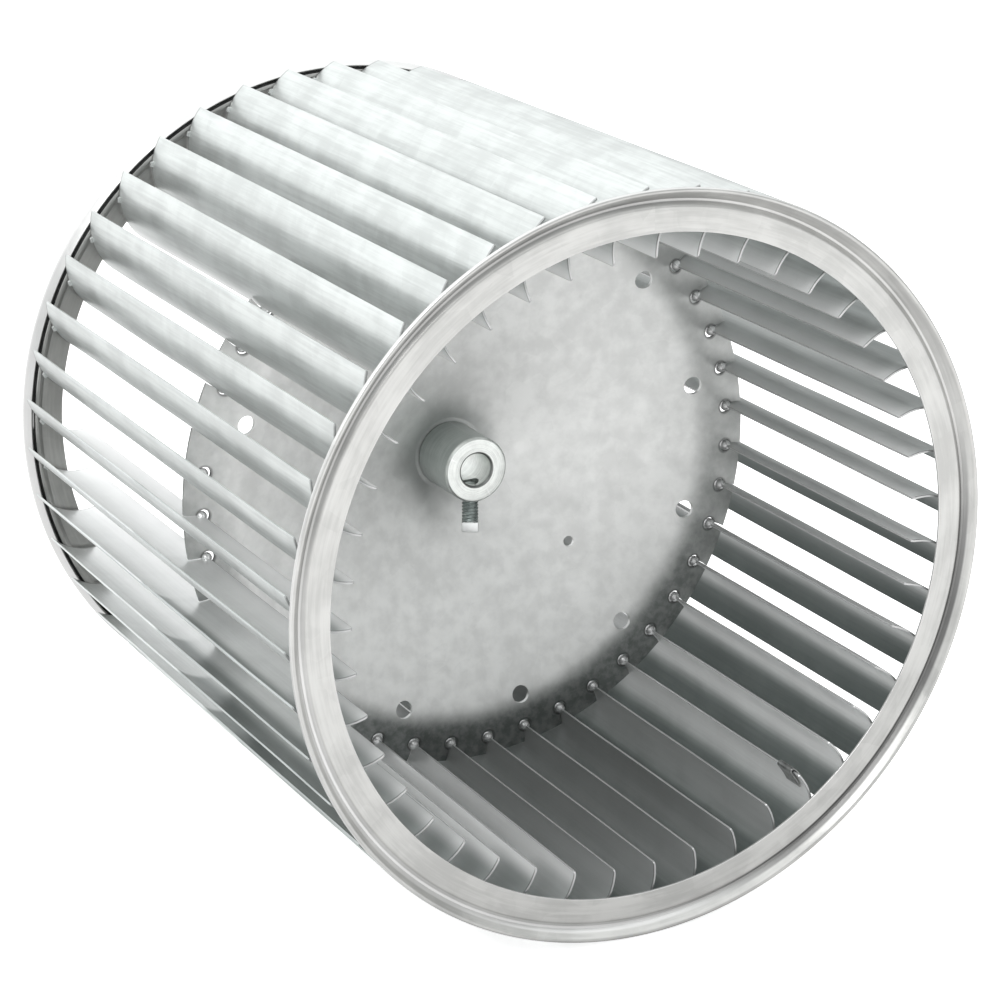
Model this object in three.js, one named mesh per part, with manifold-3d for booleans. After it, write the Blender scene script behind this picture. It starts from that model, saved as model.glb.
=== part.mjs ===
// Double-inlet centrifugal blower wheel: 43 forward-curved blades run through a dished centre disc
// and end in two rolled rings. A hub with one square-head set screw holds it on a motor shaft.
// Millimetres, +Z up. The origin is the wheel's centre, and the wheel turns about the Y axis.
// The hub and the set screw are on the front side, which faces -Y. The set screw points down, to -Z.
import * as THREE from "three";
import { mergeVertices } from "three/addons/utils/BufferGeometryUtils.js";
import Module from "manifold-3d";

const wasm = await Module();
wasm.setup();

const GAP = 0.35;
const TAU = 2 * Math.PI;

// Wheel
const WHEEL_RADIUS = 135;
const WHEEL_HALF_WIDTH = 130;
const BLADE_COUNT = 43;
const BLADE_PITCH = TAU / BLADE_COUNT;

// End rings: a flat web, a shallow groove, and a sloping flange whose edge is folded back on itself
const RING_SHEET = 0.9;
const RING_LIP_RADIUS = 119.3;
const RING_WEB_RADIUS = 127.6;
const RING_WEB_DEPTH = 2.7;
const RING_GROOVE_INNER = 129.2;
const RING_GROOVE_OUTER = 130.9;
const RING_GROOVE_DEPTH = 4;
const RING_CREST_RADIUS = 134.1;
const RING_CREST_ROUND = 0.5;
const RING_HEM_FOOT_DEPTH = 3.5;
const RING_HEM_EDGE_DEPTH = 4.1;
const RING_HEM_TOP_DEPTH = 1.7;
const RING_SEGMENTS = 96;

// Blades: circular arcs in section, with rounded corners
const BLADE_SHEET = 0.8;
const BLADE_INNER_RADIUS = 110;
const BLADE_TIP_RADIUS = 134.6;
const BLADE_SWEEP = THREE.MathUtils.degToRad(6.8);
const BLADE_INLET_LEAN = THREE.MathUtils.degToRad(6);
const BLADE_FIRST_ANGLE = THREE.MathUtils.degToRad(1.3);
const BLADE_ARC_STEPS = 5;
const BLADE_END = WHEEL_HALF_WIDTH - RING_GROOVE_DEPTH - RING_SHEET - GAP;
const BLADE_CORNER_ROUND = 2.6;
const BLADE_CORNER_STEPS = 2;

// Centre disc
const DISC_SHEET = 1.5;
const DISC_RADIUS = 117.5;
const DISC_EDGE_Y = 5.2;
const DISC_RIDGE_RADIUS = 101;
const DISC_RIDGE_Y = 3.4;
const DISC_SEAT_RADIUS = 17;
const DISC_SEAT_Y = 26.5;
const DISC_SEGMENTS = 72;
const KEYHOLE_RADIUS = 2.5;
const KEYHOLE_SEGMENTS = 8;
const SLOT_ARC_SHARE = 0.5;
const SLOT_ARC_STEPS = 3;
const RIM_CUT = { yLow: 0, yHigh: 15 };
const HOLE_COUNT = 12;
const HOLE_RADIUS = 3.5;
const HOLE_SEGMENTS = 14;
const HOLE_CIRCLE = 97;
const HOLE_FIRST_ANGLE = THREE.MathUtils.degToRad(18.2);
const PILOT_RADIUS = 2.1;
const PILOT_CIRCLE = 60.3;
const PILOT_ANGLE = THREE.MathUtils.degToRad(130.5);
const PILOT_CUT = { yLow: 5, yHigh: 30 };

// Hub
const HUB_RADIUS = 12.7;
const BORE_RADIUS = 6.35;
const HUB_FRONT_Y = 2.8;
const HUB_SPIGOT_RADIUS = 9.6;
const HUB_RIVET_RADIUS = 12.2;
const HUB_REAR_Y = 30.6;
const HUB_CHAMFER = 0.7;
const BORE_CHAMFER = 0.6;
const HUB_SEGMENTS = 36;

// Set screw: square head, 1/4 in thread
const SCREW_RADIUS = 3.1;
const SCREW_HOLE_RADIUS = 3.3;
const SCREW_Y = 8.4;
const SCREW_HEAD_TOP = -21.4;
const SCREW_HEAD_HEIGHT = 4;
const SCREW_HEAD_SIDE = 6.35;
const SCREW_HEAD_LAP = 1;
const SCREW_HEAD_TURN = THREE.MathUtils.degToRad(-27);
const SCREW_TIP_Z = -6.7;
const SCREW_CHAMFER = 0.8;
const SCREW_SEGMENTS = 20;

// Balance clip
const CLIP_BLADE = 18;
const CLIP_SHEET = 0.6;
const CLIP_REACH = 7;
const CLIP_FRONT_Y = -121.5;
const CLIP_LENGTH = 9.5;
const CLIP_STEPS = 4;

// Materials
const GALVANISED = { color: 0xc9cdcc, roughness: 0.42, metalness: 0.9 };
const DULL_GALVANISED = { color: 0xb4b8b7, roughness: 0.5, metalness: 0.9 };
const TURNED_STEEL = { color: 0xd2d3d0, roughness: 0.35, metalness: 1 };
const ZINC_PLATE = { color: 0x9fb0ac, roughness: 0.3, metalness: 1 };
const SPRING_STEEL = { color: 0x6d716f, roughness: 0.45, metalness: 1 };

function toSolid(geometry) {
  const bare = geometry.clone();
  bare.deleteAttribute("normal");
  bare.deleteAttribute("uv");
  const merged = mergeVertices(bare, 1e-4);
  const mesh = new wasm.Mesh({
    numProp: 3,
    vertProperties: merged.attributes.position.array,
    triVerts: new Uint32Array(merged.index.array),
  });
  return new wasm.Manifold(mesh);
}

function toGeometry(solid) {
  const mesh = solid.getMesh();
  const geometry = new THREE.BufferGeometry();
  geometry.setAttribute("position", new THREE.BufferAttribute(mesh.vertProperties, 3));
  geometry.setIndex(new THREE.BufferAttribute(mesh.triVerts, 1));
  const faceted = geometry.toNonIndexed();
  faceted.computeVertexNormals();
  return faceted;
}

function named(name, geometry, material) {
  const mesh = new THREE.Mesh(geometry, new THREE.MeshStandardMaterial(material));
  mesh.name = name;
  return mesh;
}

// Revolves a closed outline of [radius, y] points about the wheel's axis.
function revolve(outline, segments) {
  const points = [...outline, outline[0]].map(([radius, y]) => new THREE.Vector2(radius, y));
  return new THREE.LatheGeometry(points, segments);
}

// Extrudes an outline of [x, z] points along Y, from yLow to yHigh.
function extrudeAlongY(outline, yLow, yHigh) {
  const shape = new THREE.Shape(outline.map(([x, z]) => new THREE.Vector2(x, -z)));
  const geometry = new THREE.ExtrudeGeometry(shape, { depth: yHigh - yLow, bevelEnabled: false });
  geometry.rotateX(-Math.PI / 2);
  geometry.translate(0, yLow, 0);
  return geometry;
}

// A round cutter along Y through an [x, z] point, between the cut's two ends.
function holeCutter(radius, [x, z], cut, segments) {
  const geometry = new THREE.CylinderGeometry(radius, radius, cut.yHigh - cut.yLow, segments);
  geometry.translate(x, (cut.yLow + cut.yHigh) / 2, z);
  return toSolid(geometry);
}

// Angles run from +Z towards +X, so a growing angle is clockwise seen from the front.
function polar(radius, angle) {
  return [radius * Math.sin(angle), radius * Math.cos(angle)];
}

// The blade's mid-line, for a blade whose inner edge is at angle 0. It leans back at the inlet and
// bends forward along one circular arc to the tip. Points further out than 1 run on past the tip.
function bladeArc() {
  const start = new THREE.Vector2(...polar(BLADE_INNER_RADIUS, 0));
  const end = new THREE.Vector2(...polar(BLADE_TIP_RADIUS, BLADE_SWEEP));
  const chord = end.clone().sub(start);
  const chordLean = Math.atan2(chord.x, chord.y);
  const halfTurn = chordLean + BLADE_INLET_LEAN;
  const radius = chord.length() / (2 * Math.sin(halfTurn));
  const centre = new THREE.Vector2(
    start.x + radius * Math.cos(BLADE_INLET_LEAN),
    start.y + radius * Math.sin(BLADE_INLET_LEAN),
  );
  return { centre, radius, turn: 2 * halfTurn };
}

const ARC = bladeArc();

// A point on a line parallel to the blade's arc, offset towards the arc's outside.
function arcPoint(share, offset) {
  const angle = Math.PI + BLADE_INLET_LEAN - share * ARC.turn;
  const radius = ARC.radius + offset;
  return [ARC.centre.x + radius * Math.cos(angle), ARC.centre.y + radius * Math.sin(angle)];
}

// The outline of a strip that follows the blade's arc between two shares of its length.
function arcStrip(from, to, offsetIn, offsetOut, steps) {
  const shares = Array.from({ length: steps + 1 }, (_, i) => from + ((to - from) * i) / steps);
  const outer = shares.map((share) => arcPoint(share, offsetOut));
  const inner = shares.map((share) => arcPoint(share, offsetIn));
  return [...outer, ...inner.reverse()];
}

// Cuts one corner of the blade round at its +Y end. The cutter lies square to the blade's sheet,
// one corner radius in from the edge: towards the tip for side 1, towards the inlet for side -1.
function cornerCutter(side) {
  const round = BLADE_CORNER_ROUND;
  const step = round / (ARC.radius * ARC.turn);
  const share = side > 0 ? 1 - step : step;
  const [x, z] = arcPoint(share, 0);
  const [nextX, nextZ] = arcPoint(share + side * step, 0);
  const shape = new THREE.Shape();
  shape.moveTo(round, 0);
  shape.absarc(0, 0, round, 0, Math.PI / 2, false);
  shape.lineTo(0, 2 * round);
  shape.lineTo(2 * round, 2 * round);
  shape.lineTo(2 * round, 0);
  const geometry = new THREE.ExtrudeGeometry(shape, {
    depth: 2 * round,
    curveSegments: BLADE_CORNER_STEPS,
    bevelEnabled: false,
  });
  geometry.translate(0, BLADE_END - round, -round);
  geometry.rotateY(-Math.atan2(nextZ - z, nextX - x));
  geometry.translate(x, 0, z);
  return toSolid(geometry);
}

function bladeGeometry() {
  const half = BLADE_SHEET / 2;
  const outline = arcStrip(0, 1, -half, half, BLADE_ARC_STEPS);
  let blade = toSolid(extrudeAlongY(outline, -BLADE_END, BLADE_END));
  for (const side of [-1, 1]) {
    const cutter = cornerCutter(side);
    blade = blade.subtract(cutter).subtract(cutter.mirror([0, 1, 0]));
  }
  return toGeometry(blade);
}

function blades() {
  const group = new THREE.Group();
  const geometry = bladeGeometry();
  for (let i = 0; i < BLADE_COUNT; i += 1) {
    const blade = named(`blade_${String(i + 1).padStart(2, "0")}`, geometry, GALVANISED);
    blade.rotation.y = BLADE_FIRST_ANGLE + i * BLADE_PITCH;
    group.add(blade);
  }
  return group;
}

// Section of the rear ring. It runs out along the blade side, round the folded edge to the crest,
// and back in along the outer side.
function ringOutline() {
  const top = WHEEL_HALF_WIDTH;
  const web = top - RING_WEB_DEPTH;
  const groove = top - RING_GROOVE_DEPTH;
  const slope = (RING_CREST_RADIUS - RING_GROOVE_OUTER) / RING_GROOVE_DEPTH;
  const width = RING_SHEET * Math.hypot(1, slope);
  const flange = (depth) => RING_GROOVE_OUTER + slope * (RING_GROOVE_DEPTH - depth);
  return [
    [RING_LIP_RADIUS, web - RING_SHEET],
    [RING_WEB_RADIUS, web - RING_SHEET],
    [RING_GROOVE_INNER, groove - RING_SHEET],
    [RING_GROOVE_OUTER + RING_SHEET / 2, groove - RING_SHEET],
    [flange(RING_HEM_FOOT_DEPTH) + width, top - RING_HEM_FOOT_DEPTH],
    [flange(RING_HEM_EDGE_DEPTH) + 2 * width, top - RING_HEM_EDGE_DEPTH],
    [WHEEL_RADIUS, top - RING_HEM_TOP_DEPTH],
    [WHEEL_RADIUS, top - RING_CREST_ROUND],
    [WHEEL_RADIUS - RING_CREST_ROUND, top],
    [RING_CREST_RADIUS, top],
    [RING_GROOVE_OUTER, groove],
    [RING_GROOVE_INNER, groove],
    [RING_WEB_RADIUS, web],
    [RING_LIP_RADIUS, web],
  ];
}

function endRings() {
  const group = new THREE.Group();
  const rear = revolve(ringOutline(), RING_SEGMENTS);
  const front = rear.clone();
  front.rotateX(Math.PI);
  group.add(named("rear_end_ring", rear, GALVANISED));
  group.add(named("front_end_ring", front, GALVANISED));
  return group;
}

function discOutline() {
  const holeRadius = HUB_SPIGOT_RADIUS + GAP;
  const front = [
    [holeRadius, DISC_SEAT_Y],
    [DISC_SEAT_RADIUS, DISC_SEAT_Y],
    [DISC_RIDGE_RADIUS, DISC_RIDGE_Y],
    [DISC_RADIUS, DISC_EDGE_Y],
  ];
  const rear = front.map(([radius, y]) => [radius, y + DISC_SHEET]);
  return [...front, ...rear.reverse()];
}

// One slot with a round inner end, which a blade passes through.
function keyholeCutter() {
  const clear = BLADE_SHEET / 2 + GAP;
  const outline = arcStrip(0, SLOT_ARC_SHARE, -clear, clear, SLOT_ARC_STEPS);
  const slot = toSolid(extrudeAlongY(outline, RIM_CUT.yLow, RIM_CUT.yHigh));
  const eye = holeCutter(KEYHOLE_RADIUS, polar(BLADE_INNER_RADIUS, 0), RIM_CUT, KEYHOLE_SEGMENTS);
  return slot.add(eye);
}

function discGeometry() {
  let disc = toSolid(revolve(discOutline(), DISC_SEGMENTS));
  const keyhole = keyholeCutter();
  for (let i = 0; i < BLADE_COUNT; i += 1) {
    const angle = BLADE_FIRST_ANGLE + i * BLADE_PITCH;
    disc = disc.subtract(keyhole.rotate([0, THREE.MathUtils.radToDeg(angle), 0]));
  }
  for (let i = 0; i < HOLE_COUNT; i += 1) {
    const centre = polar(HOLE_CIRCLE, HOLE_FIRST_ANGLE + (i * TAU) / HOLE_COUNT);
    disc = disc.subtract(holeCutter(HOLE_RADIUS, centre, RIM_CUT, HOLE_SEGMENTS));
  }
  const pilot = holeCutter(PILOT_RADIUS, polar(PILOT_CIRCLE, PILOT_ANGLE), PILOT_CUT, HOLE_SEGMENTS);
  return toGeometry(disc.subtract(pilot));
}

function hubOutline() {
  const seat = DISC_SEAT_Y - GAP;
  const rivet = DISC_SEAT_Y + DISC_SHEET + GAP;
  return [
    [BORE_RADIUS + BORE_CHAMFER, HUB_FRONT_Y],
    [HUB_RADIUS - HUB_CHAMFER, HUB_FRONT_Y],
    [HUB_RADIUS, HUB_FRONT_Y + HUB_CHAMFER],
    [HUB_RADIUS, seat],
    [HUB_SPIGOT_RADIUS, seat],
    [HUB_SPIGOT_RADIUS, rivet],
    [HUB_RIVET_RADIUS, rivet],
    [HUB_RIVET_RADIUS - HUB_CHAMFER, HUB_REAR_Y],
    [BORE_RADIUS + BORE_CHAMFER, HUB_REAR_Y],
    [BORE_RADIUS, HUB_REAR_Y - BORE_CHAMFER],
    [BORE_RADIUS, HUB_FRONT_Y + BORE_CHAMFER],
  ];
}

function hubGeometry() {
  const hub = toSolid(revolve(hubOutline(), HUB_SEGMENTS));
  const depth = 2 * HUB_RADIUS;
  const hole = new THREE.CylinderGeometry(SCREW_HOLE_RADIUS, SCREW_HOLE_RADIUS, depth, SCREW_SEGMENTS);
  hole.rotateX(Math.PI / 2);
  hole.translate(0, SCREW_Y, -depth / 2);
  return toGeometry(hub.subtract(toSolid(hole)));
}

function screwGeometry() {
  const profile = [
    [0, SCREW_HEAD_TOP - SCREW_HEAD_LAP],
    [SCREW_RADIUS, SCREW_HEAD_TOP - SCREW_HEAD_LAP],
    [SCREW_RADIUS, SCREW_TIP_Z - SCREW_CHAMFER],
    [SCREW_RADIUS - SCREW_CHAMFER, SCREW_TIP_Z],
    [0, SCREW_TIP_Z],
  ].map(([radius, height]) => new THREE.Vector2(radius, height));
  const shank = new THREE.LatheGeometry(profile, SCREW_SEGMENTS);
  const head = new THREE.BoxGeometry(SCREW_HEAD_SIDE, SCREW_HEAD_HEIGHT, SCREW_HEAD_SIDE);
  head.rotateY(SCREW_HEAD_TURN);
  head.translate(0, SCREW_HEAD_TOP - SCREW_HEAD_HEIGHT / 2, 0);
  const geometry = toGeometry(toSolid(shank).add(toSolid(head)));
  geometry.rotateX(Math.PI / 2);
  geometry.translate(0, SCREW_Y, 0);
  return geometry;
}

// A folded strip that grips the inner edge of one blade from both sides.
function clipGeometry() {
  const inside = BLADE_SHEET / 2 + GAP;
  const outside = inside + CLIP_SHEET;
  const reach = CLIP_REACH / (ARC.radius * ARC.turn);
  const fold = outside / (ARC.radius * ARC.turn);
  const yHigh = CLIP_FRONT_Y + CLIP_LENGTH;
  const body = extrudeAlongY(arcStrip(-fold, reach, -outside, outside, CLIP_STEPS), CLIP_FRONT_Y, yHigh);
  const throat = inside / (ARC.radius * ARC.turn);
  const slot = arcStrip(-throat, reach + throat, -inside, inside, CLIP_STEPS);
  const cut = extrudeAlongY(slot, CLIP_FRONT_Y - 1, yHigh + 1);
  const clip = toGeometry(toSolid(body).subtract(toSolid(cut)));
  clip.rotateY(BLADE_FIRST_ANGLE + (CLIP_BLADE - 1) * BLADE_PITCH);
  return clip;
}

const wheel = new THREE.Group();
wheel.add(endRings());
wheel.add(named("centre_disc", discGeometry(), DULL_GALVANISED));
wheel.add(named("hub", hubGeometry(), TURNED_STEEL));
wheel.add(named("set_screw", screwGeometry(), ZINC_PLATE));
wheel.add(named("balance_clip", clipGeometry(), SPRING_STEEL));
wheel.add(blades());

export default wheel;
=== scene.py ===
import math
import random

import bmesh
import bpy
from mathutils import Matrix, Vector


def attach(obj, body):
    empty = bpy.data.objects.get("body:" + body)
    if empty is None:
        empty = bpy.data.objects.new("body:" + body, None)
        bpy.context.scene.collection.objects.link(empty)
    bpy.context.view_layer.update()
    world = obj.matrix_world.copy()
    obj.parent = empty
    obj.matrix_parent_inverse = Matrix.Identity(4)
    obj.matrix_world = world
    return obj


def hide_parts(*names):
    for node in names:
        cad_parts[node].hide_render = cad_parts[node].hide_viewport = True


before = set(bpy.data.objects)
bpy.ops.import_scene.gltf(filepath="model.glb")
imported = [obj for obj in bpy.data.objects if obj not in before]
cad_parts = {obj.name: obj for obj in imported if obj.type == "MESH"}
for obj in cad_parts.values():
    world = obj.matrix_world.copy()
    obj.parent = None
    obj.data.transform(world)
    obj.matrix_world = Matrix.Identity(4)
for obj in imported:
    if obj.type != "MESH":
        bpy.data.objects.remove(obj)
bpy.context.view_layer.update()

MM = 0.001
TAU = 2 * math.pi
SHARP_ANGLE = 0.6
WHEEL = "wheel"
SCREW = "screw"

# ---------------------------------------------------------------- dimensions
WHEEL_RADIUS = 135.0
BLADE_COUNT = 43
PITCH = TAU / BLADE_COUNT
FIRST_BLADE = math.radians(1.3)

RING_SHEET = 0.9
RING_STEPS = 344
RING_LIP = 119.35
RING_WEB_Y = 126.85
RING_GROOVE_Y = 125.55
RING_BENDS = (127.9, 129.5)
RING_BEND_RADIUS = 0.9
RING_FOOT = Vector((130.75, 125.6))
RING_SLOPE = Vector((0.6, 0.8))
RING_ACROSS = Vector((0.8, -0.6))
RING_FLANGE = 4.5
RING_FOLD = 0.49
RING_HEM = 3.7
SEAM_DEPTH = (0.3, 0.62)
SEAM_SPAN = (-0.2, 4.0)

BLADE_SHEET = 0.7
BLADE_INNER = 110.0
BLADE_TIP = 134.5
BLADE_SWEEP = math.radians(6.8)
BLADE_LEAN = math.radians(6)
BLADE_END = 124.85
BLADE_ROWS = 24
INNER_CORNER = 1.5
TIP_CORNER = 0.8
BLADE_BOW = 0.25
BLADE_LEAN_WAVE = 0.2
BLADE_RIPPLE = 0.05
LUG_PLACE = 18.5
LUG_WIDTH = 1.5
STAKE_IN = 0.5
STAKE_Y = 4.9
STAKE_RADIUS = 2.05
STAKE_HALF_WIDTH = 2.2
STAKE_RINGS = 10
STAKE_AROUND = 20

DISC_SHEET = 1.4
DISC_PATH = [(9.8, 27.2), (14.3, 27.2), (101.0, 4.1), (117.3, 5.7)]
DISC_BENDS = (5.0, 40.0)
DISC_STEPS = 344
HOLE_COUNT = 12
HOLE_RADIUS = 3.5
HOLE_CIRCLE = 97.0
HOLE_FIRST = math.radians(18.2)
KEYHOLE_RADIUS = 2.5
SLOT_CLEARANCE = 0.4
SLOT_STOPS = [0.3 + 1.5 * i for i in range(9)]
SLOT_CUT = (-2, 14)
EYE_CUT = (-3, 15)
PILOT_CUT = (5, 30)
PILOT = (2.1, 60.3, math.radians(130.5))

HUB_SECTION = [
    (7.0, 2.8), (12.0, 2.8), (12.7, 3.5), (12.7, 26.15), (9.6, 26.15), (9.6, 28.25),
    (12.2, 28.25), (11.6, 30.6), (7.0, 30.6), (6.35, 29.9), (6.35, 3.4),
]
HUB_EDGE = 0.35
HUB_STEPS = 128
HUB_HOLE_RADIUS = 3.3
HUB_HOLE_DEPTH = 26

SCREW_Y = 8.4
SCREW_RADIUS = 3.15
SCREW_TIP = -6.7
HEAD_TOP = -21.4
HEAD_HEIGHT = 4.0
HEAD_SIDE = 6.35
HEAD_TURN = math.radians(-27)
HEAD_EDGE = 0.45
THREAD_PITCH = 1.27
THREAD_DEPTH = 0.42
THREAD_AROUND = 48
THREAD_RISE = 0.12
POINT_LENGTH = 0.9
POINT_SHARE = 0.26

CLIP_BLADE = 18
CLIP_GAP = 0.75
CLIP_SHEET = 0.6
CLIP_REACH = 7.0
CLIP_STEPS = (0.0, 1.5, 3.0, 4.5, 6.0)
CLIP_Y = (-121.3, -112.2)

BRIGHT_WAY = Vector((-0.45, 0.85, 0.28)).normalized()
FRONT_WAY = Vector((0.2, -0.95, 0.2)).normalized()
TOP_WAY = Vector((0.35, 0.0, 0.94)).normalized()
STUDIO_LEVEL = 0.6
STUDIO_TOP = 1.0
STUDIO_BACK = 0.9
STUDIO_FRONT = 0.3
STUDIO_COLOUR = (0.985, 1.0, 1.0, 1.0)
FLOOR_HALF_SIZE = 12.0
FLOOR_GAP = 0.0005
FLOOR_SEEN = 0.7
FLOOR_LEVEL = 0.6
FLOOR_UNDER = 0.05
FLOOR_BACK = 0.7
FLOOR_FRONT = 1.15
KEY_PLACE = (-1.3, -0.9, 1.6)
KEY_SIZE = 1.2
KEY_POWER = 28

CAMERA_AZIMUTH = math.radians(-27.35)
CAMERA_ELEVATION = math.radians(18.53)
CAMERA_DISTANCE = 1.190
CAMERA_SHIFT = (0.0075, -0.0104)
CAMERA_LENS = 114.2
CAMERA_SENSOR = 36


# ---------------------------------------------------------------- geometry helpers
def polar(radius, angle):
    return radius * math.sin(angle), radius * math.cos(angle)


def circle_angles(steps):
    return [TAU * k / steps for k in range(steps)]


def arc_between(centre, radius, start, end, steps):
    return [
        Vector((centre[0] + radius * math.cos(a), centre[1] + radius * math.sin(a)))
        for a in (start + (end - start) * i / steps for i in range(steps + 1))
    ]


def fillet(points, radius, steps=5, closed=False):
    """Rounds the corners of a path of 2-D points."""
    points = [Vector(p) for p in points]
    count = len(points)
    result = []
    for i, point in enumerate(points):
        if not closed and i in (0, count - 1):
            result.append(point)
            continue
        before = points[i - 1] - point
        after = points[(i + 1) % count] - point
        angle = before.angle(after)
        if angle > math.pi - 0.02:
            result.append(point)
            continue
        reach = min(radius / math.tan(angle / 2), 0.45 * before.length, 0.45 * after.length)
        first = point + before.normalized() * reach
        last = point + after.normalized() * reach
        for k in range(steps + 1):
            t = k / steps
            result.append(first * (1 - t) ** 2 + point * 2 * t * (1 - t) + last * t * t)
    return result


def spaced(path, step):
    """The path with points added so that no stretch is longer than step."""
    result = [path[0]]
    for before, after in zip(path, path[1:]):
        parts = math.ceil((after - before).length / step)
        result += [before.lerp(after, k / parts) for k in range(1, parts + 1)]
    return result


def sheet_outline(path, thickness):
    """The closed outline of a sheet that follows an open path."""
    left, right = [], []
    for i, point in enumerate(path):
        ahead = path[min(i + 1, len(path) - 1)]
        behind = path[max(i - 1, 0)]
        along = (ahead - behind).normalized()
        normal = Vector((-along.y, along.x)) * thickness / 2
        left.append(point + normal)
        right.append(point - normal)
    return left + right[::-1]


def lathe(outline, steps):
    """Vertices and faces of a closed [radius, y] outline turned about Y."""
    verts, faces = [], []
    count = len(outline)
    for k in range(steps):
        s, c = math.sin(TAU * k / steps), math.cos(TAU * k / steps)
        verts += [(p[0] * s, p[1], p[0] * c) for p in outline]
        nxt = (k + 1) % steps
        for i in range(count):
            j = (i + 1) % count
            faces.append((k * count + i, k * count + j, nxt * count + j, nxt * count + i))
    return verts, faces


def prism(outline, low, high):
    """Vertices and faces of an [x, z] outline run from y low to y high."""
    count = len(outline)
    verts = [(p[0], low, p[1]) for p in outline] + [(p[0], high, p[1]) for p in outline]
    faces = [tuple(range(count)), tuple(range(2 * count - 1, count - 1, -1))]
    faces += [(i, i + count, (i + 1) % count + count, (i + 1) % count) for i in range(count)]
    return verts, faces


def joined(parts):
    verts, faces = [], []
    for part_verts, part_faces in parts:
        base = len(verts)
        verts += part_verts
        faces += [tuple(base + i for i in face) for face in part_faces]
    return verts, faces


def make_mesh(name, verts, faces):
    mesh = bpy.data.meshes.new(name)
    mesh.from_pydata([Vector(v) * MM for v in verts], [], faces)
    bm = bmesh.new()
    bm.from_mesh(mesh)
    bmesh.ops.recalc_face_normals(bm, faces=bm.faces)
    bm.to_mesh(mesh)
    bm.free()
    mesh.shade_smooth()
    mesh.set_sharp_from_angle(angle=SHARP_ANGLE)
    return mesh


def add_object(name, mesh):
    obj = bpy.data.objects.new(name, mesh)
    bpy.context.scene.collection.objects.link(obj)
    return obj


def add_piece(name, mesh, material, nodes, body=WHEEL, turn=0.0):
    """A visible piece that stands for CAD nodes and rides on a body."""
    obj = add_object(name, mesh)
    obj.rotation_euler.y = turn
    mesh.materials.clear()
    mesh.materials.append(material)
    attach(obj, body)
    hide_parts(*nodes)
    return obj


def bevel(obj, width, segments=2, angle=50):
    modifier = obj.modifiers.new("edges", "BEVEL")
    modifier.width = width * MM
    modifier.segments = segments
    modifier.limit_method = "ANGLE"
    modifier.angle_limit = math.radians(angle)
    modifier.harden_normals = False


def cut(mesh, cutter_mesh):
    """The mesh with the cutter taken away."""
    obj = add_object("cut_base", mesh)
    cutter = add_object("cut_tool", cutter_mesh)
    modifier = obj.modifiers.new("cut", "BOOLEAN")
    modifier.operation = "DIFFERENCE"
    modifier.solver = "EXACT"
    modifier.use_self = False
    modifier.object = cutter
    evaluated = obj.evaluated_get(bpy.context.evaluated_depsgraph_get())
    result = bpy.data.meshes.new_from_object(evaluated)
    result.name = mesh.name + "_cut"
    bpy.data.objects.remove(obj)
    bpy.data.objects.remove(cutter)
    result.shade_smooth()
    result.set_sharp_from_angle(angle=SHARP_ANGLE)
    return result


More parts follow.
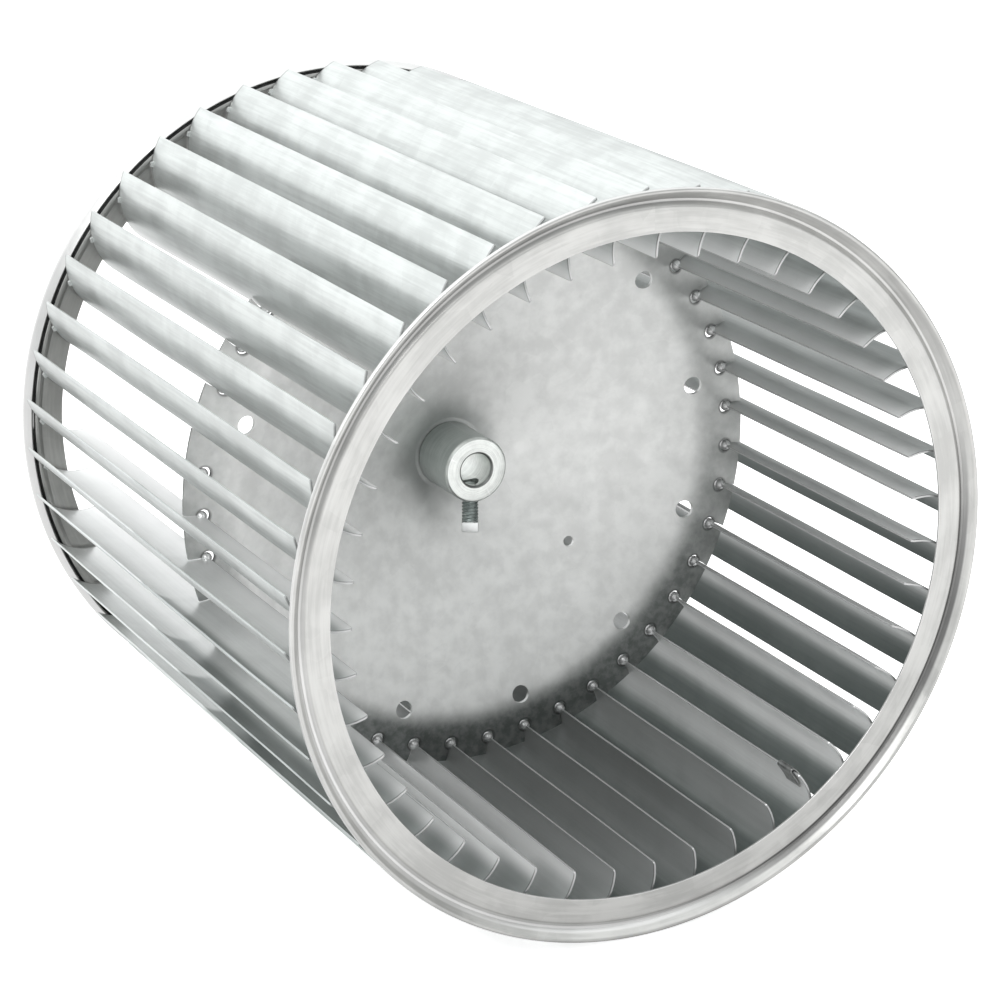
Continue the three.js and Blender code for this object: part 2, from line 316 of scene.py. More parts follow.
# ---------------------------------------------------------------- node helpers
class Graph:
    """A short way to write shader nodes."""

    def __init__(self, owner):
        owner.use_nodes = True
        self.tree = owner.node_tree
        self.tree.nodes.clear()

    def node(self, kind, inputs=None, **props):
        made = self.tree.nodes.new(kind)
        for key, value in props.items():
            setattr(made, key, value)
        for key, value in (inputs or {}).items():
            if isinstance(value, bpy.types.NodeSocket):
                self.tree.links.new(value, made.inputs[key])
            else:
                made.inputs[key].default_value = value
        return made

    def math(self, operation, a, b=0.0):
        return self.node("ShaderNodeMath", {0: a, 1: b}, operation=operation).outputs[0]

    def product(self, first, *others):
        for other in others:
            first = self.math("MULTIPLY", first, other)
        return first

    def total(self, first, *others):
        for other in others:
            first = self.math("ADD", first, other)
        return first

    def span(self, value, low, high, to_low=0.0, to_high=1.0):
        """Runs smoothly from to_low to to_high as the value goes from low to high."""
        limits = {"From Min": low, "From Max": high, "To Min": to_low, "To Max": to_high}
        keys = {"Value": value, **limits}
        made = self.node("ShaderNodeMapRange", keys, interpolation_type="SMOOTHSTEP")
        return made.outputs["Result"]

    def span_mm(self, value, low, high, to_low=0.0, to_high=1.0):
        """The same for a length, with its limits in millimetres."""
        return self.span(value, low * MM, high * MM, to_low, to_high)

    def band(self, value, low, high, soft):
        """One between low and high millimetres, fading to zero over soft millimetres each side."""
        rise = self.span_mm(value, low - soft, low)
        fall = self.span_mm(value, high, high + soft, 1.0, 0.0)
        return self.product(rise, fall)

    def near(self, angle, centre, low, high, to_low, to_high):
        """Rises towards an angle, between two cosines of the angle away from it."""
        cosine = self.math("COSINE", self.math("SUBTRACT", angle, centre))
        return self.span(cosine, low, high, to_low, to_high)

    def noise(self, vector, scale, detail=3.0, roughness=0.55):
        keys = {"Vector": vector, "Scale": scale, "Detail": detail, "Roughness": roughness}
        return self.node("ShaderNodeTexNoise", keys).outputs["Fac"]

    def mix(self, share, a, b):
        return self.node("ShaderNodeMix", {0: share, 6: a, 7: b}, data_type="RGBA").outputs[2]

    def vector(self, x, y, z):
        return self.node("ShaderNodeCombineXYZ", {0: x, 1: y, 2: z}).outputs[0]

    def split(self, vector):
        return self.node("ShaderNodeSeparateXYZ", {0: vector}).outputs

    def vectors(self, operation, a, b):
        return self.node("ShaderNodeVectorMath", {0: a, 1: b}, operation=operation).outputs[0]

    def facing(self, way, target):
        """The dot product of two directions."""
        made = self.node("ShaderNodeVectorMath", {0: way, 1: target}, operation="DOT_PRODUCT")
        return made.outputs["Value"]

    def coords(self, kind):
        return self.node("ShaderNodeTexCoord").outputs[kind]

    def place(self):
        """Object coordinates in metres, plain and with a shift that differs between pieces."""
        coords = self.coords("Object")
        chance = self.node("ShaderNodeObjectInfo").outputs["Random"]
        shift = self.vector(chance, self.product(chance, 7.3), self.product(chance, 3.1))
        return coords, self.vectors("ADD", coords, shift)

    def polar(self, coords):
        """Radius from the wheel's axis, angle about it, and y."""
        x, y, z = self.split(coords)
        squares = self.total(self.product(x, x), self.product(z, z))
        return self.math("SQRT", squares), self.math("ARCTAN2", x, z), y


def tone(value, tint=(1.0, 1.0, 1.0)):
    return tuple(value * t for t in tint) + (1.0,)


def finish_metal(g, colour, roughness, height, metallic, bump=0.25, distance=0.0004):
    normal = g.node("ShaderNodeBump", {"Strength": bump, "Distance": distance, "Height": height})
    keys = {
        "Base Color": colour,
        "Metallic": metallic,
        "Roughness": roughness,
        "Normal": normal.outputs[0],
    }
    shader = g.node("ShaderNodeBsdfPrincipled", keys)
    g.node("ShaderNodeOutputMaterial", {"Surface": shader.outputs[0]})


def blade_arc():
    start = Vector(polar(BLADE_INNER, 0))
    chord = Vector(polar(BLADE_TIP, BLADE_SWEEP)) - start
    half_turn = math.atan2(chord.x, chord.y) + BLADE_LEAN
    radius = chord.length / (2 * math.sin(half_turn))
    centre = start + radius * Vector((math.cos(BLADE_LEAN), math.sin(BLADE_LEAN)))
    return centre, radius, 2 * half_turn


ARC_CENTRE, ARC_RADIUS, ARC_TURN = blade_arc()
ARC_LENGTH = ARC_RADIUS * ARC_TURN


GRAIN = {
    "round": ((900.0, 6.0, 900.0), 0.6),
    "along": ((700.0, 22.0, 700.0), 0.8),
    "none": ((150.0, 150.0, 150.0), 0.4),
}
# Colours of painted shade on the blades, the disc's rim and round the hub, and the hub side's
# darker tone.
PAINTED_SHADE_GREEN = (0.1, 0.125, 0.12, 1.0)
SHADE_GREEN = (0.08, 0.105, 0.1, 1.0)
RIM_SHADE = (0.06, 0.075, 0.07, 1.0)
ROOT_SHADE = (0.1, 0.12, 0.115, 1.0)
SIDE_DARK_TONE = (0.12, 0.16, 0.15, 1.0)

# Where marks fade in, in millimetres: radii, then places along, across and up the wheel.
GROOVE_ZONE = (128.9, 131.4)
HEM_ZONE = (132.2, 132.7)
CREST_HIGHLIGHT = (134.2, 134.6)
LIP_HIGHLIGHT = (119.7, 119.3)
EDGE_LIGHT = (120, 111)
HOLLOW_LIGHT = (129, 122)
BACK_SHADE = (115, 127)
OUTER_HALF = (124, 130)
SECTION_MIDDLE = (111, 117)
RIM_ZONE = (95, 105)
ROOT_ZONE = (24, 13)
EYE_SHADE_ZONE = (3.5, 2.7)
BORE_EDGE = (6.3, 7.0)
BORE_MOUTH = (4.4, 3.4)
HUB_SIDE = (12.2, 12.6)
HUB_SIDE_START = (3.0, 4.5)
BEFORE_DISC = (14, 8)
BEHIND_DISC = (8, 14)
FRONT_END = (-85, -112)
FRONT_HALF = (-30, -100)
RIGHT_PART = (-20, 30)
LEFT_PART = (0, -50)
FAR_RIGHT = (55, 85)
REAR_LEFT = (20, -30)
UNDER_ZONE = (-8.0, 48.0)
UNDER_SOFT = 28.0
LOWER_PART = (60, -30)
BOTTOM = (-50, -90)

# Angles in the ring's own frame. The front ring is the same mesh turned over about X.
# Where the groove's painted shade is strong and weak, and where its painted light is strongest.
GROOVE_STRONG_SHADE = math.radians(56)
GROOVE_WEAK_SHADE = math.radians(-140)
GROOVE_LIT = math.radians(-35)


def galvanised(name, dark, light, tint, roughness, metallic, grain, patch, marks):
    """Zinc-coated sheet: spangle, cloudy patches, fine rolling grain, and marks of its own."""
    material = bpy.data.materials.new(name)
    g = Graph(material)
    coords, place = g.place()
    radius, angle, y = g.polar(coords)
    grain_scale, grain_share = GRAIN[grain]
    grain_place = g.vector(radius, angle, y) if grain == "round" else place
    streaks = g.noise(g.vectors("MULTIPLY", grain_place, grain_scale), 1.0, 4.0, 0.6)
    bend = g.product(g.noise(place, 90.0, 2.0), 0.006)
    keys = {"Vector": g.vectors("ADD", place, bend), "Scale": 120.0, "Randomness": 1.0}
    cells = g.node("ShaderNodeTexVoronoi", keys).outputs["Color"]
    spangle = g.node("ShaderNodeSeparateColor", {0: cells}).outputs[0]
    cloud = g.noise(place, 30.0, 4.0, 0.6)
    blot = g.noise(place, patch, 3.0, 0.5)
    fine = g.noise(place, 420.0, 3.0, 0.6)
    grain_part = g.product(g.math("SUBTRACT", streaks, 0.5), grain_share)
    share = g.total(
        g.product(spangle, 0.1), g.product(cloud, 0.5), g.product(blot, 0.45), grain_part
    )
    colour = g.mix(g.span(share, 0.3, 0.75), tone(dark, tint), tone(light, tint))
    colour = marks(g, colour, coords)
    rough = g.total(roughness - 0.07, g.product(spangle, 0.05), g.product(cloud, 0.1))
    height = g.total(g.product(streaks, 0.5), g.product(fine, 0.25), g.product(spangle, 0.03))
    finish_metal(g, colour, rough, height, metallic)
    return material


def ring_marks(g, colour, coords):
    """Painted shade in the rolled groove, painted light along the groove and on the folded edge's
    blade side, painted highlights on the lip and crest.
    """
    radius, angle, _ = g.polar(coords)
    outer = g.split(g.coords("Normal"))[1]
    groove = g.product(g.band(radius, *GROOVE_ZONE, 0.6), g.span(outer, 0.0, 0.2))
    thick = g.near(angle, GROOVE_STRONG_SHADE, 0.6, 0.95, 0.0, 0.75)
    thin = g.near(angle, GROOVE_WEAK_SHADE, 0.5, 0.95, 0.0, 0.35)
    groove_light = g.near(angle, GROOVE_LIT, 0.3, 0.9, 0.1, 0.5)
    # Painted light in the groove, weak all round and strongest near one angle.
    colour = g.mix(g.product(groove, groove_light), colour, tone(0.75))
    # Painted shade in the groove, strong near one angle and weak near another.
    colour = g.mix(g.product(groove, g.total(thick, thin)), colour, tone(0.05))
    hem_light = g.product(g.span_mm(radius, *HEM_ZONE), g.span(outer, 0.0, -0.2))
    # Painted light on the folded edge's blade side.
    colour = g.mix(g.product(hem_light, 0.6), colour, tone(0.8))
    edge_highlight = g.total(g.span_mm(radius, *CREST_HIGHLIGHT), g.span_mm(radius, *LIP_HIGHLIGHT))
    # Painted highlights on the crest and the lip.
    return g.mix(g.product(edge_highlight, 0.4), colour, tone(0.9))


def hollow_side(g, coords):
    """One on a blade's hollow side, zero on its back."""
    x, _, z = g.split(coords)
    centre = Vector((ARC_CENTRE.x, 0, ARC_CENTRE.y)) * MM
    spoke = g.vectors("SUBTRACT", g.vector(x, 0.0, z), centre)
    return g.span_mm(g.facing(spoke, g.coords("Normal")), 0.2, -0.2)


def painted_shade_places(g, radius, along, across, height):
    """Where the hollow sides get painted shade: low outer halves, left front ends, the wheel's
    bottom.
    """
    outer = g.span_mm(radius, *OUTER_HALF, 0.0, 0.75)
    front = g.math("MAXIMUM", g.span_mm(along, *BEFORE_DISC), g.span_mm(across, *RIGHT_PART))
    outward = g.product(outer, g.span_mm(height, *LOWER_PART), front)
    middle = g.span_mm(radius, *SECTION_MIDDLE, 0.1, 0.65)
    tail = g.product(middle, g.span_mm(along, *FRONT_END), g.span_mm(across, *LEFT_PART))
    low = g.span_mm(height, *BOTTOM, 0.0, 0.5)
    under = g.product(g.band(across, *UNDER_ZONE, UNDER_SOFT), low)
    return g.math("MAXIMUM", g.math("MAXIMUM", outward, tail), under)


def blade_marks(g, colour, coords):
    """Painted light towards the inner edges, dark cut ends, and painted shade and painted light in
    zones set by place on the wheel.
    """
    hollow = hollow_side(g, coords)
    radius, _, along = g.polar(coords)
    across, _, height = g.split(g.node("ShaderNodeNewGeometry").outputs["Position"])
    bright = g.product(g.span_mm(radius, *EDGE_LIGHT), g.span(hollow, 0.0, 1.0, 0.85, 0.7))
    # Painted light towards the inner edges.
    colour = g.mix(bright, colour, tone(0.95))
    inside = g.product(hollow, g.span_mm(radius, *HOLLOW_LIGHT, 0.0, 0.45))
    # Painted light on the hollow sides' inner parts.
    colour = g.mix(inside, colour, tone(0.95))
    hollow_shade = g.product(hollow, painted_shade_places(g, radius, along, across, height))
    # Painted shade on the hollow sides.
    colour = g.mix(hollow_shade, colour, PAINTED_SHADE_GREEN)
    front = g.span_mm(along, *FRONT_HALF, 0.25, 0.75)
    far_side = g.product(g.span_mm(across, *FAR_RIGHT), front)
    back = g.product(g.math("SUBTRACT", 1.0, hollow), g.span_mm(radius, *BACK_SHADE))
    # Painted shade on the blade backs towards the far right.
    colour = g.mix(g.product(far_side, back), colour, SHADE_GREEN)
    rear = g.product(g.span_mm(along, *BEHIND_DISC, 0.0, 0.3), g.span_mm(across, *REAR_LEFT))
    # Painted light on the hollow sides behind the disc, on the left.
    colour = g.mix(g.product(hollow, rear), colour, tone(0.95))
    end = g.span_mm(g.math("ABSOLUTE", along), BLADE_END - 1.0, BLADE_END - 0.4)
    colour = g.mix(g.product(end, 0.55), colour, tone(0.12))
    edge = g.span_mm(radius, BLADE_INNER + 0.3, BLADE_INNER + 0.1, 0.0, 0.5)
    return g.mix(edge, colour, tone(0.15))


def disc_marks(g, colour, coords):
    """Painted shade round each keyhole's eye and on the rim towards the wheel's bottom, and
    painted shadow round the hub.
    """
    radius, angle, _ = g.polar(coords)
    turn = g.math("DIVIDE", g.math("SUBTRACT", angle, FIRST_BLADE), PITCH)
    off = g.math("SUBTRACT", turn, g.math("ROUND", turn))
    across = g.product(off, PITCH, radius)
    out = g.math("SUBTRACT", radius, BLADE_INNER * MM)
    from_eye = g.math("SQRT", g.total(g.product(across, across), g.product(out, out)))
    eye_shade = g.span_mm(from_eye, *EYE_SHADE_ZONE)
    low_side = g.span(g.math("COSINE", angle), 0.2, -0.8, 0.3, 0.75)
    shade_patches = g.span(g.noise(coords, 260.0, 4.0, 0.6), 0.35, 0.65, 0.88, 1.1)
    rim = g.product(g.span_mm(radius, *RIM_ZONE), low_side, shade_patches)
    # Painted shade on the rim, stronger towards the wheel's bottom, in patches.
    colour = g.mix(rim, colour, RIM_SHADE)
    hub_foot_shade = g.span_mm(radius, *ROOT_ZONE, 0.0, 0.4)
    # Painted shadow round the hub's foot.
    colour = g.mix(hub_foot_shade, colour, ROOT_SHADE)
    # Painted shade round each eye.
    return g.mix(g.product(eye_shade, 0.6), colour, tone(0.06))


def turned(name, dark, light, tint, roughness, ring_scale):
    """Steel turned on a lathe: fine rings about the axis, painted highlights on sharp edges,
    painted shade at the bore's mouth, a darker side.
    """
    material = bpy.data.materials.new(name)
    g = Graph(material)
    coords, place = g.place()
    radius, angle, y = g.polar(coords)
    groove = g.product(g.total(radius, y), ring_scale)
    rings = g.noise(g.vector(groove, g.product(angle, 0.6), 0.0), 1.0, 2.0)
    haze = g.noise(place, 260.0, 4.0, 0.65)
    share = g.span(g.total(g.product(rings, 0.7), g.product(haze, 0.5)), 0.35, 0.85)
    point = g.node("ShaderNodeNewGeometry").outputs["Pointiness"]
    colour = g.mix(share, tone(dark, tint), tone(light, tint))
    # Painted highlights on sharp edges.
    colour = g.mix(g.product(g.span(point, 0.52, 0.6), 0.5), colour, tone(0.95))
    bore_shade = g.product(g.band(radius, *BORE_EDGE, 0.25), g.span_mm(y, *BORE_MOUTH, 0.0, 0.7))
    # Painted shade at the bore's mouth.
    colour = g.mix(bore_shade, colour, tone(0.08))
    side = g.product(g.span_mm(radius, *HUB_SIDE), g.span_mm(y, *HUB_SIDE_START, 0.0, 0.6))
    colour = g.mix(side, colour, SIDE_DARK_TONE)
    rough = g.total(roughness - 0.06, g.product(haze, 0.14))
    height = g.total(rings, g.product(haze, 0.3))
    finish_metal(g, colour, rough, height, 0.9, 0.35, 0.0002)
    return material


def plated(name, dark, light, tint, roughness, bright_below=None):
    """Plated or spring steel: fine mottling, painted highlights on sharp edges, and a lighter end
    if asked.
    """
    material = bpy.data.materials.new(name)
    g = Graph(material)
    coords, place = g.place()
    cloud = g.noise(place, 330.0, 4.0, 0.65)
    fine = g.noise(place, 1900.0, 3.0)
    point = g.node("ShaderNodeNewGeometry").outputs["Pointiness"]
    colour = g.mix(g.span(cloud, 0.3, 0.7), tone(dark, tint), tone(light, tint))
    # Painted highlights on sharp edges.
    colour = g.mix(g.product(g.span(point, 0.53, 0.62), 0.6), colour, tone(0.92))
    if bright_below is not None:
        end = g.span_mm(g.split(coords)[2], bright_below + 0.2, bright_below, 0.0, 0.6)
        colour = g.mix(end, colour, tone(1.0))
    rough = g.total(roughness - 0.06, g.product(cloud, 0.16))
    height = g.total(g.product(cloud, 0.6), g.product(fine, 0.4))
    finish_metal(g, colour, rough, height, 0.9, 0.3, 0.0001)
    return material


RING_METAL = galvanised(
    "ring_galvanised", 0.41, 0.53, (1.0, 1.0, 0.975), 0.36, 0.85, "round", 60.0, ring_marks
)
BLADE_METAL = galvanised(
    "blade_galvanised", 0.54, 0.68, (0.96, 1.0, 0.985), 0.34, 0.6, "along", 60.0, blade_marks
)
DISC_METAL = galvanised(
    "disc_galvanised", 0.62, 0.75, (0.99, 1.0, 0.985), 0.42, 0.7, "none", 150.0, disc_marks
)
HUB_METAL = turned("hub_turned_steel", 0.6, 0.88, (0.97, 1.0, 0.97), 0.33, 2600.0)
SCREW_METAL = plated("screw_zinc_plate", 0.22, 0.42, (0.88, 1.0, 0.97), 0.3, HEAD_TOP)
CLIP_METAL = plated("clip_spring_steel", 0.12, 0.3, (0.97, 1.0, 0.98), 0.36)
# A near-black material for the painted shadow in the ring's slit.
SEAM_SHADOW = plated("ring_seam_shadow", 0.012, 0.04, (0.97, 1.0, 0.98), 0.7)


# ---------------------------------------------------------------- end rings
def ring_path():
    """Centre line of the rear ring's sheet, from the lip to the folded edge."""
    top = RING_FOOT + RING_SLOPE * RING_FLANGE
    centre = top + RING_ACROSS * RING_FOLD
    start = math.atan2(-RING_ACROSS.y, -RING_ACROSS.x)
    fold = arc_between(centre, RING_FOLD, start, start - math.pi, 8)
    end = fold[-1] - RING_SLOPE * RING_HEM
    edge, floor = RING_BENDS
    web = [(RING_LIP, RING_WEB_Y), (edge, RING_WEB_Y), (floor, RING_GROOVE_Y), RING_FOOT, top]
    return fillet(web, RING_BEND_RADIUS)[:-1] + fold + [end]


def in_seam(point):
    """True on the flange's back, in the slit beside the folded edge, where the shadow is painted.
    """
    local = Vector(point) - RING_FOOT
    deep = SEAM_DEPTH[0] < local.dot(RING_ACROSS) < SEAM_DEPTH[1]
    return deep and SEAM_SPAN[0] < local.dot(RING_SLOPE) < SEAM_SPAN[1]


def build_rings():
    outline = sheet_outline(ring_path(), RING_SHEET)
    verts, faces = lathe(outline, RING_STEPS)
    mesh = make_mesh("ring", verts, faces)
    mesh.materials.append(RING_METAL)
    mesh.materials.append(SEAM_SHADOW)
    for i, polygon in enumerate(mesh.polygons):
        before = Vector(outline[i % len(outline)])
        after = Vector(outline[(i + 1) % len(outline)])
        # Faces in the slit take the painted-shadow material.
        polygon.material_index = int(in_seam((before + after) / 2))
    places = (("ring_rear", "rear_end_ring", 0.0), ("ring_front", "front_end_ring", math.pi))
    for name, node, turn in places:
        obj = add_object(name, mesh)
        obj.rotation_euler.x = turn
        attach(obj, WHEEL)
        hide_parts(node)
        bevel(obj, 0.16)


# ---------------------------------------------------------------- blades
def arc_point(distance, offset=0.0):
    """A point on the blade's section: distance from the inner edge, offset from mid-line."""
    angle = math.pi + BLADE_LEAN - distance / ARC_RADIUS
    radius = ARC_RADIUS + offset
    return ARC_CENTRE.x + radius * math.cos(angle), ARC_CENTRE.y + radius * math.sin(angle)


def corner_loss(distance, radius):
    """How far a rounded corner cuts the blade's end back, at a distance from the edge."""
    if distance >= radius:
        return 0.0
    return radius - math.sqrt(radius * radius - (radius - distance) ** 2)


def blade_columns():
    """Distances along the blade's section, close together at its two edges."""
    near = [0.0, 0.1, 0.3, 0.6, 1.0, 1.5, 2.3]
    far = [1.5, 0.8, 0.5, 0.25, 0.08, 0.0]
    reach = ARC_LENGTH - (near[-1] + far[0])
    middle = [near[-1] + reach * i / 11 for i in range(1, 11)]
    return near + middle + [ARC_LENGTH - d for d in far]


def stake():
    """The blade's edge, spread into a round head that fills the eye of its keyhole in the disc."""
    rings, around = STAKE_RINGS, STAKE_AROUND
    x, z = arc_point(STAKE_IN)
    verts, faces = [(x, STAKE_Y - STAKE_HALF_WIDTH, z)], []
    for i in range(1, rings):
        tilt = math.pi * i / rings
        radius = STAKE_RADIUS * math.sin(tilt)
        y = STAKE_Y - STAKE_HALF_WIDTH * math.cos(tilt)
        for a in circle_angles(around):
            verts.append((x + radius * math.sin(a), y, z + radius * math.cos(a)))
    verts.append((x, STAKE_Y + STAKE_HALF_WIDTH, z))
    for k in range(around):
        nxt = (k + 1) % around
        faces.append((0, 1 + k, 1 + nxt))
        for i in range(rings - 2):
            a, b = 1 + i * around, 1 + (i + 1) * around
            faces.append((a + k, b + k, b + nxt, a + nxt))
        base = 1 + (rings - 2) * around
        faces.append((base + nxt, base + k, len(verts) - 1))
    return verts, faces


def blade_lug(low, high):
    """The small bent tab that locks a blade's end, on the blade's back."""
    section = [(0.0, 0.2), (0.3, 1.5), (1.9, 1.3), (2.4, 0.2)]
    return prism([arc_point(LUG_PLACE + along, offset) for along, offset in section], low, high)


def blade_mesh(index, chance):
    """One bent sheet with rounded corners and a slight bow of its own."""
    columns = blade_columns()
    bow = chance.uniform(-BLADE_BOW, BLADE_BOW)
    lean = chance.uniform(-BLADE_LEAN_WAVE, BLADE_LEAN_WAVE)
    phase = chance.uniform(0, TAU)
    count = len(columns)
    verts, faces = [], []
    for side in (-1, 1):
        for row in range(BLADE_ROWS + 1):
            t = 2 * row / BLADE_ROWS - 1
            for distance in columns:
                end = BLADE_END - corner_loss(distance, INNER_CORNER)
                end -= corner_loss(ARC_LENGTH - distance, TIP_CORNER)
                wave = bow * (1 - t * t) + lean * t * (1 - t * t)
                wave += BLADE_RIPPLE * math.sin(9 * t + phase)
                x, z = arc_point(distance, side * BLADE_SHEET / 2 + wave)
                verts.append((x, end * t, z))
    layer = count * (BLADE_ROWS + 1)
    for row in range(BLADE_ROWS):
        for c in range(count - 1):
            a = row * count + c
            faces.append((a, a + 1, a + 1 + count, a + count))
            b = a + layer
            faces.append((b, b + count, b + 1 + count, b + 1))
    last = BLADE_ROWS * count
    rim = list(range(count))
    rim += [row * count + count - 1 for row in range(1, BLADE_ROWS + 1)]
    rim += [last + c for c in range(count - 2, -1, -1)]
    rim += [row * count for row in range(BLADE_ROWS - 1, 0, -1)]
    for i, a in enumerate(rim):
        b = rim[(i + 1) % len(rim)]
        faces.append((b, a, a + layer, b + layer))
    rear_lug = blade_lug(BLADE_END - LUG_WIDTH, BLADE_END)
    front_lug = blade_lug(-BLADE_END, LUG_WIDTH - BLADE_END)
    parts = [(verts, faces), stake(), rear_lug, front_lug]
    return make_mesh(f"blade_{index:02d}_sheet", *joined(parts))


def build_blades():
    chance = random.Random(43)
    for i in range(BLADE_COUNT):
        number = f"{i + 1:02d}"
        mesh = blade_mesh(i + 1, chance)
        turn = FIRST_BLADE + i * PITCH
        nodes = [f"blade_{number}"]
        obj = add_piece(f"vane_{number}", mesh, BLADE_METAL, nodes, turn=turn)
        bevel(obj, 0.2)


# ---------------------------------------------------------------- centre disc
def slot_outline():
    """The slot a blade passes through, at the foot of the blade's arc."""
    clear = BLADE_SHEET / 2 + SLOT_CLEARANCE
    out = [arc_point(d, clear) for d in SLOT_STOPS]
    return out + [arc_point(d, -clear) for d in reversed(SLOT_STOPS)]


def turned_outline(outline, turn):
    s, c = math.sin(turn), math.cos(turn)
    return [(x * c + z * s, z * c - x * s) for x, z in outline]


def circle_outline(centre, radius, steps):
    return [tuple(p) for p in arc_between(centre, radius, 0, TAU, steps)[:-1]]


def disc_cutters():
    """Two sets of cutters with no overlap inside a set: slots and holes, then the eyes."""
    slots, eyes = [], []
    for i in range(BLADE_COUNT):
        turn = FIRST_BLADE + i * PITCH
        slots.append(prism(turned_outline(slot_outline(), turn), *SLOT_CUT))
        eye = circle_outline(polar(BLADE_INNER, turn), KEYHOLE_RADIUS, 24)
        eyes.append(prism(eye, *EYE_CUT))
    for i in range(HOLE_COUNT):
        centre = polar(HOLE_CIRCLE, HOLE_FIRST + i * TAU / HOLE_COUNT)
        slots.append(prism(circle_outline(centre, HOLE_RADIUS, 28), *SLOT_CUT))
    radius, circle, angle = PILOT
    slots.append(prism(circle_outline(polar(circle, angle), radius, 20), *PILOT_CUT))
    return make_mesh("slots", *joined(slots)), make_mesh("eyes", *joined(eyes))


def disc_path():
    """The disc's section: a flat seat, the dish, and a rim turned back over a soft ridge."""
    seat, knee, ridge, rim = (Vector(p) for p in DISC_PATH)
    inner = fillet([seat, knee, ridge], DISC_BENDS[0], 8)[:-1]
    outer = fillet([knee, ridge, rim], DISC_BENDS[1], 12)[1:]
    return spaced(inner + outer, 4.0)


def surface_normals(mesh, path):
    """Gives the pressed faces the turned shape's own normals, so that cuts leave no smears."""
    normals = []
    corners = mesh.corner_normals
    for polygon in mesh.polygons:
        for loop in polygon.loop_indices:
            place = mesh.vertices[mesh.loops[loop].vertex_index].co
            radius = math.hypot(place.x, place.z)
            after = next((i for i, p in enumerate(path) if p.x * MM > radius), len(path) - 1)
            after = max(after, 1)
            along = path[after] - path[after - 1]
            normal = Vector((-along.y * place.x / radius, along.x, -along.y * place.z / radius))
            normal = normal.normalized() * math.copysign(1.0, polygon.normal.y)
            flat = polygon.normal.dot(normal) > 0.985
            normals.append(normal if flat else corners[loop].vector.copy())
    mesh.normals_split_custom_set(normals)


def applied(obj):
    """The object's mesh with its modifiers applied."""
    evaluated = obj.evaluated_get(bpy.context.evaluated_depsgraph_get())
    mesh = bpy.data.meshes.new_from_object(evaluated)
    bpy.data.objects.remove(obj)
    return mesh


def build_disc():
    path = disc_path()
    outline = sheet_outline(path, DISC_SHEET)
    base = make_mesh("disc", *lathe(outline, DISC_STEPS))
    slots, eyes = disc_cutters()
    blank = add_object("disc_blank", cut(cut(base, slots), eyes))
    bevel(blank, 0.35, 2, 40)
    mesh = applied(blank)
    surface_normals(mesh, path)
    add_piece("disc", mesh, DISC_METAL, ["centre_disc"])


# ---------------------------------------------------------------- hub
def build_hub():
    base = make_mesh("hub", *lathe(fillet(HUB_SECTION, HUB_EDGE, 3, True), HUB_STEPS))
    ring = [polar(HUB_HOLE_RADIUS, angle) for angle in circle_angles(32)]
    verts, faces = prism(ring, 0, HUB_HOLE_DEPTH)
    pointing_down = [(x, z + SCREW_Y, -y) for x, y, z in verts]
    mesh = cut(base, make_mesh("hub_hole", pointing_down, faces))
    obj = add_piece("hub_turned", mesh, HUB_METAL, ["hub"])
    bevel(obj, 0.12, 2, 40)


# ---------------------------------------------------------------- set screw
def thread_radius(height, angle):
    """Radius of a rounded vee thread."""
    phase = (height / THREAD_PITCH - angle / TAU) % 1.0
    return SCREW_RADIUS - THREAD_DEPTH * (0.5 - 0.5 * math.cos(TAU * phase)) ** 0.8


def screw_shank():
    """The threaded shank, drawn in towards its tip and sunk a little into the head."""
    low, high = HEAD_TOP - 0.5, SCREW_TIP
    rows = int((high - low) / THREAD_RISE)
    verts, faces = [], []
    for row in range(rows + 1):
        z = low + (high - low) * row / rows
        fade = min(1.0, (high - z) / POINT_LENGTH)
        for angle in circle_angles(THREAD_AROUND):
            radius = thread_radius(z, angle) * (1 - POINT_SHARE + POINT_SHARE * fade)
            verts.append((radius * math.cos(angle), SCREW_Y + radius * math.sin(angle), z))
    for row in range(rows):
        for k in range(THREAD_AROUND):
            a = row * THREAD_AROUND + k
            b = row * THREAD_AROUND + (k + 1) % THREAD_AROUND
            faces.append((a, b, b + THREAD_AROUND, a + THREAD_AROUND))
    faces.append(tuple(range(THREAD_AROUND)))
    faces.append(tuple(rows * THREAD_AROUND + k for k in range(THREAD_AROUND)))
    return verts, faces


def screw_head():
    """The square head, with rounded edges."""
    bm = bmesh.new()
    bmesh.ops.create_cube(bm, size=1.0)
    matrix = Matrix.Translation((0, SCREW_Y, HEAD_TOP - HEAD_HEIGHT / 2))
    matrix = matrix @ Matrix.Rotation(HEAD_TURN, 4, "Z")
    matrix = matrix @ Matrix.Diagonal((HEAD_SIDE, HEAD_SIDE, HEAD_HEIGHT, 1))
    bm.transform(matrix)
    edges = bm.edges[:]
    bmesh.ops.bevel(bm, geom=edges, offset=HEAD_EDGE, segments=3, affect="EDGES", profile=0.6)
    bm.verts.index_update()
    verts = [tuple(v.co) for v in bm.verts]
    faces = [tuple(v.index for v in f.verts) for f in bm.faces]
    bm.free()
    return verts, faces


def build_screw():
    mesh = make_mesh("screw", *joined([screw_shank(), screw_head()]))
    add_piece("square_head_screw", mesh, SCREW_METAL, ["set_screw"], body=SCREW)


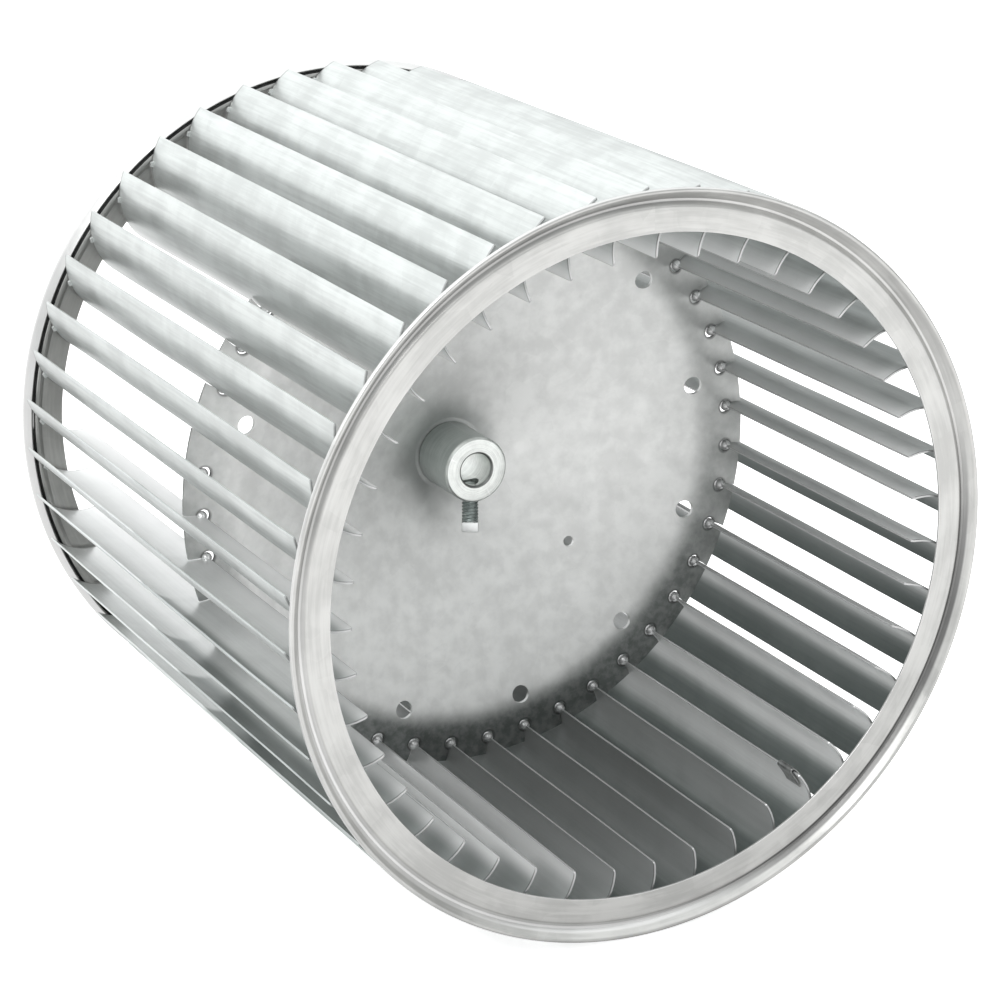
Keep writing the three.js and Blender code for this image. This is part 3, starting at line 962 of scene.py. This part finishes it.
# ---------------------------------------------------------------- balance clip
def build_clip():
    """A folded strip pushed over one blade's inner edge."""
    middle = CLIP_GAP + CLIP_SHEET / 2
    leg = [CLIP_REACH - d for d in CLIP_STEPS]
    nose = [(0.4, 1.0), (-1.1, 0.8), (-1.6, 0.0), (-1.1, -0.8), (0.4, -1.0)]
    path = [Vector(arc_point(d, middle)) for d in leg]
    path += [Vector(arc_point(d, middle * side)) for d, side in nose]
    path += [Vector(arc_point(d, -middle)) for d in reversed(leg)]
    outline = sheet_outline(fillet(path, 0.8, 4), CLIP_SHEET)
    mesh = make_mesh("clip", *prism(outline, *CLIP_Y))
    turn = FIRST_BLADE + (CLIP_BLADE - 1) * PITCH
    obj = add_piece("clip_balance", mesh, CLIP_METAL, ["balance_clip"], turn=turn)
    bevel(obj, 0.12)


# ---------------------------------------------------------------- stage
def floor_glow(g):
    """The floor as reflections see it, glowing as painted light: a painted shadow under the wheel,
    brightest behind it on the left.
    """
    coords = g.coords("Object")
    x, y, _ = g.split(coords)
    beside = g.span(g.math("ABSOLUTE", g.total(x, 0.012)), 0.03, 0.09)
    before = g.span(g.math("ABSOLUTE", y), 0.1, 0.15)
    # Painted shadow under the wheel, in the floor's glow.
    open_floor = g.math("MAXIMUM", g.math("MAXIMUM", beside, before), FLOOR_UNDER)
    way = g.node("ShaderNodeVectorMath", {0: coords}, operation="NORMALIZE").outputs[0]
    side = g.span(g.facing(way, BRIGHT_WAY), 0.1, 0.9)
    front = g.span(g.product(y, -1.0), -0.1, 0.5)
    level = g.total(FLOOR_LEVEL, g.product(side, FLOOR_BACK), g.product(front, FLOOR_FRONT))
    return g.product(open_floor, level)


def camera_sees(g, seen, mirrored):
    """One shader for the camera's own view, another for light and reflections."""
    camera_ray = g.node("ShaderNodeLightPath").outputs["Is Camera Ray"]
    return g.node("ShaderNodeMixShader", {0: camera_ray, 1: mirrored, 2: seen}).outputs[0]


def floor_material():
    material = bpy.data.materials.new("pale_floor")
    g = Graph(material)
    keys = {
        "Base Color": tone(0.9),
        "Roughness": 0.7,
        "Emission Color": tone(1.0),
        "Emission Strength": FLOOR_SEEN,
    }
    seen = g.node("ShaderNodeBsdfPrincipled", keys).outputs[0]
    keys = {"Color": tone(1.0), "Strength": floor_glow(g)}
    mirrored = g.node("ShaderNodeEmission", keys).outputs[0]
    g.node("ShaderNodeOutputMaterial", {"Surface": camera_sees(g, seen, mirrored)})
    return material


def build_floor():
    reach = FLOOR_HALF_SIZE
    z = -WHEEL_RADIUS * MM - FLOOR_GAP
    corners = [(-reach, -reach, z), (reach, -reach, z), (reach, reach, z), (-reach, reach, z)]
    mesh = bpy.data.meshes.new("floor")
    mesh.from_pydata(corners, [], [(0, 1, 2, 3)])
    mesh.materials.append(floor_material())
    add_object("floor", mesh)


def build_world():
    """White for the camera. Reflections see a softer studio, brightest behind on the left."""
    world = bpy.data.worlds.new("studio")
    bpy.context.scene.world = world
    g = Graph(world)
    way = g.coords("Generated")
    back = g.span(g.facing(way, BRIGHT_WAY), 0.35, 0.95, STUDIO_LEVEL, STUDIO_LEVEL + STUDIO_BACK)
    front = g.span(g.facing(way, FRONT_WAY), 0.4, 1.0, 0.0, STUDIO_FRONT)
    top = g.span(g.facing(way, TOP_WAY), 0.55, 0.95, 0.0, STUDIO_TOP)
    keys = {"Color": STUDIO_COLOUR, "Strength": g.total(back, front, top)}
    studio = g.node("ShaderNodeBackground", keys).outputs[0]
    plain = g.node("ShaderNodeBackground", {"Color": tone(1.0), "Strength": 1.0}).outputs[0]
    g.node("ShaderNodeOutputWorld", {"Surface": camera_sees(g, plain, studio)})


def add_key_light():
    """One large soft light, high on the left, aimed at the wheel's centre."""
    data = bpy.data.lights.new("key_high_left", "AREA")
    data.shape = "RECTANGLE"
    data.size = KEY_SIZE
    data.size_y = KEY_SIZE
    data.energy = KEY_POWER
    light = bpy.data.objects.new("key_high_left", data)
    light.location = KEY_PLACE
    light.rotation_euler = (-Vector(KEY_PLACE)).to_track_quat("-Z", "Y").to_euler()
    bpy.context.scene.collection.objects.link(light)


def build_camera():
    a, e = CAMERA_AZIMUTH, CAMERA_ELEVATION
    back = Vector((math.sin(a) * math.cos(e), -math.cos(a) * math.cos(e), math.sin(e)))
    right = Vector((math.cos(a), math.sin(a), 0))
    up = back.cross(right)
    data = bpy.data.cameras.new("camera")
    data.lens = CAMERA_LENS
    data.sensor_width = CAMERA_SENSOR
    data.clip_end = 100
    camera = bpy.data.objects.new("camera", data)
    place = back * CAMERA_DISTANCE + right * CAMERA_SHIFT[0] + up * CAMERA_SHIFT[1]
    rotation = Matrix((right, up, back)).transposed().to_4x4()
    camera.matrix_world = Matrix.Translation(place) @ rotation
    bpy.context.scene.collection.objects.link(camera)
    bpy.context.scene.camera = camera


build_rings()
build_blades()
build_disc()
build_hub()
build_screw()
build_clip()
build_floor()
build_world()
add_key_light()
build_camera()
bpy.context.scene.view_settings.view_transform = "Standard"
